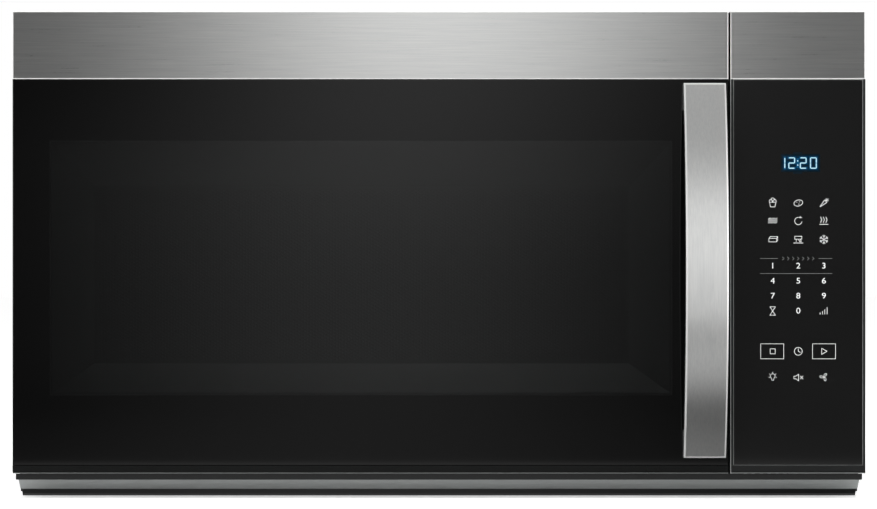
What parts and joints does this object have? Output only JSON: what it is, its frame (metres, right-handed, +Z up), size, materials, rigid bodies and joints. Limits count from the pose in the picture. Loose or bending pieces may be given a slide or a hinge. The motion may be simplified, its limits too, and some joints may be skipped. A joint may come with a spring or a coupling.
{
  "type": "over the range microwave",
  "caption": "Over the range microwave with a side-hinged black glass door, bowed handle, touch control panel, turntable, top vent grille and underside grease filters.",
  "frame": {"origin": "bottom edge of the rear wall face, on the middle plane", "axes": "+X to the right as seen from the front, the front faces -Y, +Y towards the wall, +Z up"},
  "size_m": [0.7598, 0.44, 0.4345],
  "materials": {
    "stainless": "brushed stainless steel",
    "black_glass": "back-printed black glass",
    "clear_glass": "clear heat-resistant glass",
    "black_moulding": "moulded, satin",
    "grey_enamel": "light grey baked enamel",
    "black_enamel": "black baked enamel, satin",
    "cavity_enamel": "grey oven enamel",
    "zinc_steel": "zinc-coated steel",
    "bare_steel": "turned or pressed steel",
    "aluminium": "mill finish",
    "white_plastic": "moulded, heat-resistant",
    "grey_plastic": "moulded",
    "black_rubber": "moulded",
    "mica": "pressed mica sheet",
    "charcoal": "charcoal bed in card",
    "laminations": "varnished steel laminations",
    "circuit_board": "green solder mask",
    "screen_paint": "black painted perforated steel"
  },
  "bodies": {
    "cabinet": {"outer_wrap": "black_enamel", "rear_panel": "zinc_steel", "base_pan": "grey_enamel", "component_shelf": "zinc_steel", "cord_bushing": "black_rubber", "cabinet_screws": "bare_steel", "cavity": "cavity_enamel", "mica_cover": "mica", "waveguide": "zinc_steel", "magnetron": "zinc_steel", "hv_transformer": "laminations", "hv_capacitor": "aluminium", "hv_diode": "black_moulding", "thermal_cutouts": "grey_plastic", "cavity_lamp": "clear_glass", "fan_shroud": "zinc_steel", "fan_motor": "laminations", "vent_motor": "bare_steel", "blower_housing": "zinc_steel", "vent_grille": "black_moulding", "charcoal_filter": "charcoal", "cooktop_lamp": "clear_glass", "cooktop_lens": "clear_glass", "turntable_motor": "bare_steel", "hinge_lower": "bare_steel", "hinge_upper": "bare_steel", "panel_frame": "black_moulding", "panel_band": "stainless", "panel_glass": "black_glass", "display_module": "black_moulding", "control_board": "circuit_board", "latch_board": "white_plastic", "interlock_switches": "grey_plastic"},
    "door": {"door_glass": "black_glass", "door_band": "stainless", "door_bottom_trim": "black_moulding", "door_shell": "black_moulding", "hinge_bushes": "white_plastic", "door_screen": "screen_paint", "door_inner_frame": "screen_paint", "choke_cover": "black_moulding", "inner_glass": "clear_glass", "door_handle": "stainless", "handle_screws": "bare_steel"},
    "latch": {"latch_hooks": "white_plastic", "latch_spring": "bare_steel"},
    "coupler": {"drive_coupler": "white_plastic"},
    "tray": {"glass_tray": "clear_glass"},
    "ring": {"roller_ring": "white_plastic"},
    "roller_1": {"roller_wheel_1": "white_plastic"},
    "roller_2": {"roller_wheel_2": "white_plastic"},
    "roller_3": {"roller_wheel_3": "white_plastic"},
    "filter_left": {"grease_filter_left": "aluminium"},
    "filter_right": {"grease_filter_right": "aluminium"},
    "blower": {"blower_shaft": "bare_steel", "blower_wheel_left": "zinc_steel", "blower_wheel_right": "zinc_steel"},
    "fan": {"cooling_fan": "grey_plastic"}
  },
  "joints": [
    {"name": "door_hinge", "type": "hinge", "parent": "cabinet", "child": "door", "pos_m": [-0.368, -0.381, 0.22], "axis": [0, 0, -1], "range_deg": [0, 100]},
    {"name": "latch_lift", "type": "slide", "parent": "door", "child": "latch", "axis": [0, 0, 1], "range_m": [0, 0.0045], "stiffness_N_per_m": 400, "springref_m": -0.004},
    {"name": "coupler_spin", "type": "hinge", "parent": "cabinet", "child": "coupler", "pos_m": [-0.0671, -0.19, 0.09], "axis": [0, 0, 1], "continuous": true},
    {"name": "tray_lift", "type": "slide", "parent": "coupler", "child": "tray", "axis": [0, 0, 1], "range_m": [0, 0.05]},
    {"name": "ring_spin", "type": "hinge", "parent": "cabinet", "child": "ring", "pos_m": [-0.0671, -0.19, 0.0863], "axis": [0, 0, 1], "continuous": true},
    {"name": "roller_1_spin", "type": "hinge", "parent": "ring", "child": "roller_1", "pos_m": [-0.0671, -0.086, 0.0863], "axis": [0, 1, 0], "continuous": true},
    {"name": "roller_2_spin", "type": "hinge", "parent": "ring", "child": "roller_2", "pos_m": [-0.15717, -0.242, 0.0863], "axis": [-0.866, -0.5, 0], "continuous": true},
    {"name": "roller_3_spin", "type": "hinge", "parent": "ring", "child": "roller_3", "pos_m": [0.02297, -0.242, 0.0863], "axis": [0.866, -0.5, 0], "continuous": true},
    {"name": "filter_left_slide", "type": "slide", "parent": "cabinet", "child": "filter_left", "axis": [0, 1, 0], "range_m": [0, 0.01]},
    {"name": "filter_right_slide", "type": "slide", "parent": "cabinet", "child": "filter_right", "axis": [0, 1, 0], "range_m": [0, 0.01]},
    {"name": "blower_spin", "type": "hinge", "parent": "cabinet", "child": "blower", "pos_m": [0, -0.072, 0.387], "axis": [1, 0, 0], "continuous": true},
    {"name": "fan_spin", "type": "hinge", "parent": "cabinet", "child": "fan", "pos_m": [0.2864, -0.052, 0.23], "axis": [0, 1, 0], "continuous": true}
  ],
  "couplings": [
    {"joint": "ring_spin", "follows": "coupler_spin", "ratio": 0.5},
    {"joint": "roller_1_spin", "follows": "coupler_spin", "ratio": -6.5},
    {"joint": "roller_2_spin", "follows": "coupler_spin", "ratio": -6.5},
    {"joint": "roller_3_spin", "follows": "coupler_spin", "ratio": -6.5}
  ]
}
